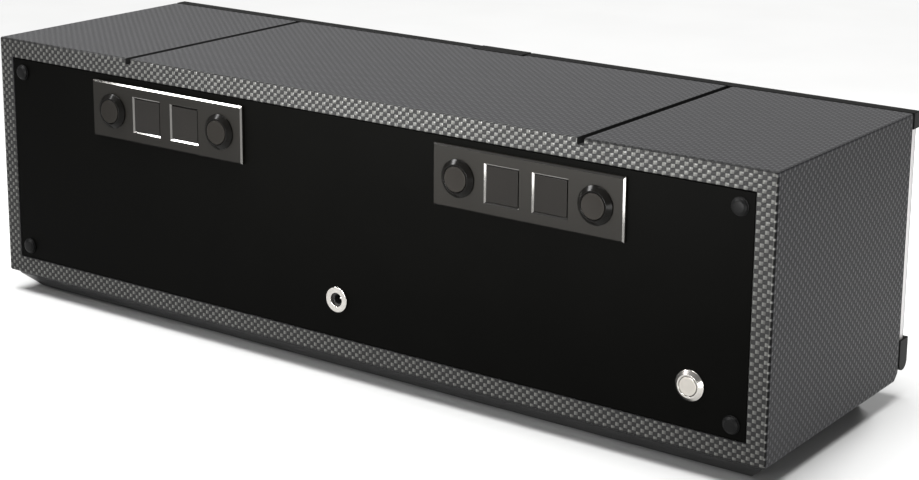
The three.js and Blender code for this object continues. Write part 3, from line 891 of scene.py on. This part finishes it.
def make_controls():
    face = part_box("control_plate_left")[1].y

    def paint(_centre, normal):
        """0 for a plate's face and 1 for the bright chamfers round it."""
        return 1 if 0.3 < normal.y < 0.95 else 0

    for side in ("left", "right"):
        node = f"control_plate_{side}"
        bm = copy_of(node)
        piece(f"plate_{side}", bm, ["plate", "bright"], "case", [node], paint=paint, smooth=20)
        make_board(side)
    for n in range(1, 5):
        rounded_copy(f"window_lens_{n}", f"display_window_{n}", 0.25, "window")
        middle = middle_of(f"button_bezel_{n}")
        piece(f"button_rim_{n}", bezel(BUTTON), ["bezel"], "case", [f"button_bezel_{n}"],
              (middle.x, face, middle.z))
        low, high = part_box(f"button_cap_{n}")
        piece(f"push_cap_{n}", button_cap(BUTTON, (high.y - low.y) / MM), ["cap"], f"button_{n}",
              [f"button_cap_{n}"], (middle.x, low.y, middle.z))


# A board's thickness, how far its displays are from its middle, and their size, in mm.
BOARD = {"thickness": 1.6, "display_x": 18, "display": 22, "screen_inset": 1.5}
# Each chip or connector on a board: its x and z from the middle, its width, height and depth, in mm.
CHIPS = (
    (-48, 6, 9, 9, 1.4),
    (48, -6, 7, 5, 1.2),
    (0, 10, 5, 4, 1.2),
    (-46, -9, 10, 4, 5.0),
    (46, 9, 10, 4, 5.0),
)
# The small soldered parts in two rows: how many, their spacing, the rows' distance and their size.
SOLDERED = {"count": 14, "step": 6, "row": 14.5, "size": (2, 0.6, 1.2)}


def make_board(side):
    """The circuit board behind a control plate, with its displays, chips and connectors."""
    node = f"control_board_{side}"
    low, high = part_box(node)
    middle = (low + high) / 2
    front = low.y + BOARD["thickness"] * MM
    bm = bmesh.new()
    add_block(bm, low, (high.x, front, high.z), 0.15 * MM)

    def on_board(x, z, width, height, y0, y1, bevel, material):
        """A block from y0 to y1, with its middle x and z mm from the board's, and sizes in mm."""
        x0, z0 = middle.x + x * MM, middle.z + z * MM
        half_width, half_height = width / 2 * MM, height / 2 * MM
        add_block(bm, (x0 - half_width, y0, z0 - half_height), (x0 + half_width, y1, z0 + half_height),
                  bevel * MM, material)

    screen = BOARD["display"] - 2 * BOARD["screen_inset"]
    screen_back = high.y - BOARD["screen_inset"] * MM
    for x in (-BOARD["display_x"], BOARD["display_x"]):
        on_board(x, 0, BOARD["display"], BOARD["display"], front, screen_back, 0.4, 1)
        on_board(x, 0, screen, screen, screen_back, high.y, 0.2, 2)
    for x, z, width, height, depth in CHIPS:
        on_board(x, z, width, height, front, front + depth * MM, 0.2, 1)
    width, depth, height = SOLDERED["size"]
    for k in range(SOLDERED["count"]):
        x = (k - (SOLDERED["count"] - 1) / 2) * SOLDERED["step"]
        z = -SOLDERED["row"] if k % 2 else SOLDERED["row"]
        on_board(x, z, width, height, front, front + depth * MM, 0.1, 3)
    piece(f"board_{side}", bm, ["board", "chip", "display", "zinc"], "case", [node])


# ---- The rotors ------------------------------------------------------------------------------

# Sizes in mm. A cup's lengths are from its mouth, and a pinion's from the front of its shaft.
CUP = {"outer": 52, "inner": 49, "hub": 9, "axle": 4.7, "floor": 62, "back": 66, "shoulder": 90.7}
GEAR = {"teeth": 36, "module": 2, "width": 6, "start": 83}
PINION = {"teeth": 10, "module": 2, "width": 8, "start": 2, "shaft": 2.5}
PRESSURE_ANGLE = math.radians(20)
DEDENDUM = 1.25
BACKLASH = 0.2
CUSHION = {"shrink": 1.5, "corner": 12, "rim": 3, "voxel": 4.0, "pressure": 4, "cap": 3.0}
SEAM = {"from_end": 5.0, "width": 2.4, "pull": 1.3, "core": 12, "piping": 0.95, "proud": 0.2}
CLOTH_FRAMES = 20
MOTOR = {"gearbox": 16.5, "gearbox_end": 22, "can": 13.5, "boss": 4, "shaft_hole": 2.8, "end_cap": 2.4}


def gear_outline(teeth, module, start):
    """Points of an involute spur gear in mm, with a tooth centred on the angle start."""
    pitch = teeth * module / 2
    base = pitch * math.cos(PRESSURE_ANGLE)
    root, tip = pitch - DEDENDUM * module, pitch + module

    def spread(angle):
        return math.tan(angle) - angle

    def half_angle(radius):
        slope = math.acos(min(1, base / radius))
        full = math.pi / (2 * teeth) + spread(PRESSURE_ANGLE) - spread(slope)
        return full - BACKLASH / 2 / pitch

    radii = [max(root, base) + (tip - max(root, base)) * k / 5 for k in range(6)]
    flank = [(root, half_angle(radii[0]) + 0.12 * module / pitch)] + [(r, half_angle(r)) for r in radii]
    points = []
    for tooth in range(teeth):
        middle = start + 2 * math.pi * tooth / teeth
        for radius, offset in [(r, -a) for r, a in flank] + [(r, a) for r, a in reversed(flank)]:
            points.append((radius * math.cos(middle + offset), radius * math.sin(middle + offset)))
    return points


def slab(outline, y0, y1, bevel=0.2):
    """An XZ outline in mm made into a solid from y0 to y1, with its rims bevelled."""
    bm = bmesh.new()
    near = [bm.verts.new((x * MM, y0 * MM, z * MM)) for x, z in outline]
    far = [bm.verts.new((x * MM, y1 * MM, z * MM)) for x, z in outline]
    faces = [bm.faces.new(near), bm.faces.new(far)]
    for k in range(len(outline)):
        following = (k + 1) % len(outline)
        bm.faces.new((near[k], near[following], far[following], far[k]))
    bmesh.ops.recalc_face_normals(bm, faces=bm.faces)
    for face in faces:
        bmesh.ops.inset_region(bm, faces=[face], thickness=bevel * MM, depth=bevel * MM * 0.5)
    return bm


def rounded_rectangle(width, height, corner, steps=8):
    """Points of a rounded rectangle about the origin, in mm."""
    points = []
    for quarter, (i, k) in enumerate(((1, 1), (-1, 1), (-1, -1), (1, -1))):
        for step in range(steps + 1):
            angle = (quarter + step / steps) * math.pi / 2
            points.append((
                i * (width / 2 - corner) + corner * math.cos(angle),
                k * (height / 2 - corner) + corner * math.sin(angle),
            ))
    return points


def inflate(obj, pressure, cap):
    """Blows obj up as a closed cloth bag and bakes the result, moving no point by more than cap."""
    rest = [v.co.copy() for v in obj.data.vertices]
    cloth = obj.modifiers.new("cloth", "CLOTH")
    settings = cloth.settings
    settings.use_pressure = True
    settings.uniform_pressure_force = pressure
    settings.effector_weights.gravity = 0
    settings.quality = 6
    settings.mass = 0.3
    settings.tension_stiffness = settings.compression_stiffness = 12
    settings.bending_stiffness = 2
    cloth.point_cache.frame_start, cloth.point_cache.frame_end = 1, CLOTH_FRAMES
    scene = bpy.context.scene
    for number in range(1, CLOTH_FRAMES + 1):
        scene.frame_set(number)
    evaluated = obj.evaluated_get(bpy.context.evaluated_depsgraph_get())
    moved = [v.co.copy() for v in evaluated.data.vertices]
    obj.modifiers.remove(cloth)
    scene.frame_set(1)
    for vertex, old, new in zip(obj.data.vertices, rest, moved):
        step = new - old
        if step.length > cap:
            step *= cap / step.length
        vertex.co = old + step


def apply_modifiers(obj):
    """Replaces obj's mesh with its modified one."""
    evaluated = obj.evaluated_get(bpy.context.evaluated_depsgraph_get())
    mesh = bpy.data.meshes.new_from_object(evaluated)
    obj.modifiers.clear()
    obj.data = mesh


def cushion_mesh(size):
    """One stuffed suede cushion about its own middle, with a seam round each end. size is in mm."""
    width, depth, height = (s - 2 * CUSHION["shrink"] for s in size)
    bm = slab(rounded_rectangle(width, height, CUSHION["corner"]), -depth / 2, depth / 2, CUSHION["rim"])
    mesh = bpy.data.meshes.new("cushion_form")
    bm.to_mesh(mesh)
    bm.free()
    obj = bpy.data.objects.new("cushion_form", mesh)
    bpy.context.scene.collection.objects.link(obj)
    remesh = obj.modifiers.new("remesh", "REMESH")
    remesh.mode = "VOXEL"
    remesh.voxel_size = CUSHION["voxel"] * MM
    remesh.use_smooth_shade = True
    apply_modifiers(obj)
    inflate(obj, CUSHION["pressure"], CUSHION["cap"] * MM)
    seams = [sign * (depth / 2 - SEAM["from_end"]) * MM for sign in (-1, 1)]
    smooth = obj.modifiers.new("subdivision", "SUBSURF")
    smooth.levels = smooth.render_levels = 1
    apply_modifiers(obj)
    for vertex in obj.data.vertices:
        for seam in seams:
            nearness = math.exp(-(((vertex.co.y - seam) / (SEAM["width"] * MM)) ** 2))
            outwards = Vector((vertex.co.x, 0, vertex.co.z))
            if outwards.length > SEAM["core"] * MM:
                vertex.co -= outwards.normalized() * nearness * SEAM["pull"] * MM
    mesh = obj.data
    bpy.data.objects.remove(obj)
    return mesh, seams


def seam_ring(mesh, y, count=120):
    """The ring of points where the plane at y cuts the cushion's sides."""
    tree = BVHTree.FromPolygons([v.co for v in mesh.vertices], [p.vertices for p in mesh.polygons])
    ring = []
    for k in range(count):
        angle = 2 * math.pi * k / count
        out = Vector((math.cos(angle), 0, math.sin(angle)))
        hit = tree.ray_cast(Vector((0, y, 0)), out)[0]
        ring.append(hit + out * SEAM["proud"] * MM)
    return ring


def make_rotors():
    cushion, seams = cushion_mesh([s / MM for s in size_of("watch_cushion_1")])
    rings = [seam_ring(cushion, y) for y in seams]
    for n in range(1, 5):
        make_cup(n)
        make_cushion(n, cushion, rings)
        make_pinion(n)
        make_motor(n)
    rounded_copy("fascia", "front_fascia", 0.6, "lacquer")
    rounded_copy("rotor_plate", "motor_plate", 0.6, "lacquer")


def make_cup(n):
    """A rotor's cup with its hub and axle, and the toothed wheel on the hub."""
    node = f"rotor_cup_{n}"
    low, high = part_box(node)
    x, z = (low.x + high.x) / 2, (low.z + high.z) / 2
    length = (high.y - low.y) / MM
    bm = lathe([
        (0, CUP["floor"], 0),
        (CUP["inner"], CUP["floor"], 4),
        (CUP["inner"], 0, 1.2),
        (CUP["outer"], 0, 0.9),
        (CUP["outer"], CUP["back"], 2.5),
        (CUP["hub"], CUP["back"], 1),
        (CUP["hub"], CUP["shoulder"], 0.4),
        (CUP["axle"], CUP["shoulder"], 0.3),
        (CUP["axle"], length, 0.5),
        (0, length, 0),
    ], 128)

    def paint(centre, _normal):
        radius, along = math.hypot(centre.x, centre.z) / MM, centre.y / MM
        return 1 if radius < CUP["inner"] + 0.1 and 3 < along < CUP["floor"] + 0.5 else 0

    body = f"rotor_{n}"
    piece(f"cup_{n}", bm, ["cup", "lining"], body, [node], (x, low.y, z), paint=paint)
    wheel = slab(gear_outline(GEAR["teeth"], GEAR["module"], -math.pi / 2), 0, GEAR["width"])
    at = (x, low.y + GEAR["start"] * MM, z)
    piece(f"cup_wheel_{n}", wheel, ["acetal"], body, (), at, smooth=30)


def make_cushion(n, cushion, rings):
    """A copy of the stuffed cushion in its cup, with piping along both of its seams."""
    node = f"watch_cushion_{n}"
    body = f"rotor_{n}"
    pad = bpy.data.objects.new(f"cushion_{n}", cushion.copy())
    pad.location = middle_of(node)
    pad.data.materials.clear()
    pad.data.materials.append(LOOK["suede"])
    pad.data.shade_smooth()
    bpy.context.scene.collection.objects.link(pad)
    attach(pad, body)
    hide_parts(node)
    for end, ring in zip(("front", "back"), rings):
        bm = tube(ring, SEAM["piping"] * MM)
        piece(f"piping_{end}_{n}", bm, ["piping"], body, (), middle_of(node), smooth=180)


def make_pinion(n):
    """A motor's pinion, with a gap between two teeth facing the cup's wheel, and its shaft."""
    node = f"motor_pinion_{n}"
    low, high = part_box(node)
    middle = middle_of(node)
    at = (middle.x, low.y, middle.z)
    half_tooth = math.pi / PINION["teeth"]
    outline = gear_outline(PINION["teeth"], PINION["module"], math.pi / 2 + half_tooth)
    bm = slab(outline, PINION["start"], PINION["start"] + PINION["width"])
    piece(f"pinion_{n}", bm, ["acetal"], f"pinion_{n}", [node], at, smooth=30)
    length = (high.y - low.y) / MM
    shaft = lathe([(0, 0, 0), (PINION["shaft"], 0, 0.4), (PINION["shaft"], length, 0.5), (0, length, 0)], 48)
    piece(f"motor_shaft_{n}", shaft, ["steel"], f"pinion_{n}", (), at)


def make_motor(n):
    """A geared motor facing -Y: a wider gearbox at the front and the motor's can behind it."""
    node = f"gear_motor_{n}"
    low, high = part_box(node)
    middle = middle_of(node)
    length = (high.y - low.y) / MM
    outer, line = MOTOR["gearbox"], MOTOR["gearbox"] - 0.3
    can_end = length - MOTOR["end_cap"]
    bm = lathe([
        (0, length, 0),
        (MOTOR["boss"], length, 0.3),
        (MOTOR["boss"], length - 1.2, 0.2),
        (12, length - 1.2, 0.3),
        (12, can_end, 0.1),
        (MOTOR["can"], can_end, 0.8),
        (MOTOR["can"], MOTOR["gearbox_end"], 0.3),
        (14.2, MOTOR["gearbox_end"], 0),
        (outer, MOTOR["gearbox_end"], 0.6),
        (outer, 16, 0.1),
        (line, 15.8, 0.1),
        (line, 15.2, 0.1),
        (outer, 15, 0.1),
        (outer, 3.2, 0.1),
        (line, 3.0, 0.1),
        (line, 2.6, 0.1),
        (outer, 2.4, 0.1),
        (outer, 0, 0.6),
        (MOTOR["shaft_hole"], 0, 0.2),
        (MOTOR["shaft_hole"], 12, 0),
        (0, 12, 0),
    ], 72)

    def paint(centre, _normal):
        return 1 if centre.y > (can_end + 0.1) * MM else 0

    piece(f"motor_{n}", bm, ["zinc", "motor_cap"], "case", [node], (middle.x, low.y, middle.z),
          paint=paint)


# ---- The door --------------------------------------------------------------------------------

# The pane's edge nearest its outer face is painted darker, as painted shade.
ARRIS = 1.2 * MM  # the part of the pane's edge nearest its outer face, which looks darker


def make_door():
    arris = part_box("door_glass")[0].y + ARRIS
    bm = copy_of("door_glass")
    everything = [*bm.verts, *bm.edges, *bm.faces]
    bmesh.ops.bisect_plane(bm, geom=everything, plane_co=(0, arris, 0), plane_no=(0, 1, 0))
    round_edges(bm, 0.3 * MM, 1)

    def paint(centre, normal):
        """0 for the pane's two faces, and 1 and 2 for the two parts of its edge, 2 painted darker as shade.
        """
        if abs(normal.y) > 0.9:
            return 0
        return 2 if centre.y < arris else 1

    looks = ["glass", "edge", "shaded_edge"]
    piece("glass_pane", bm, looks, "door", ["door_glass"], paint=paint)
    rounded_copy("top_rail", "door_rail", 0.5, "black_metal", "door")
    rounded_copy("pull_tab", "door_pull", 0.6, "black_metal", "door")
    for name, node, radius, look, slot, body in (
        ("bracket", "hinge_bracket", 0.5, "black_metal", "black_aluminium", "door"),
        ("pivot_block", "hinge_block", 0.4, "black_metal", "black_aluminium", "case"),
        ("pivot_pin", "hinge_pin", 0.3, "steel", "steel", "door"),
    ):
        for side in ("left", "right"):
            rounded_copy(f"{name}_{side}", f"{node}_{side}", radius, look, body)


make_camera()
make_lights()
make_floor()
make_case()
make_back()
make_controls()
make_rotors()
make_door()
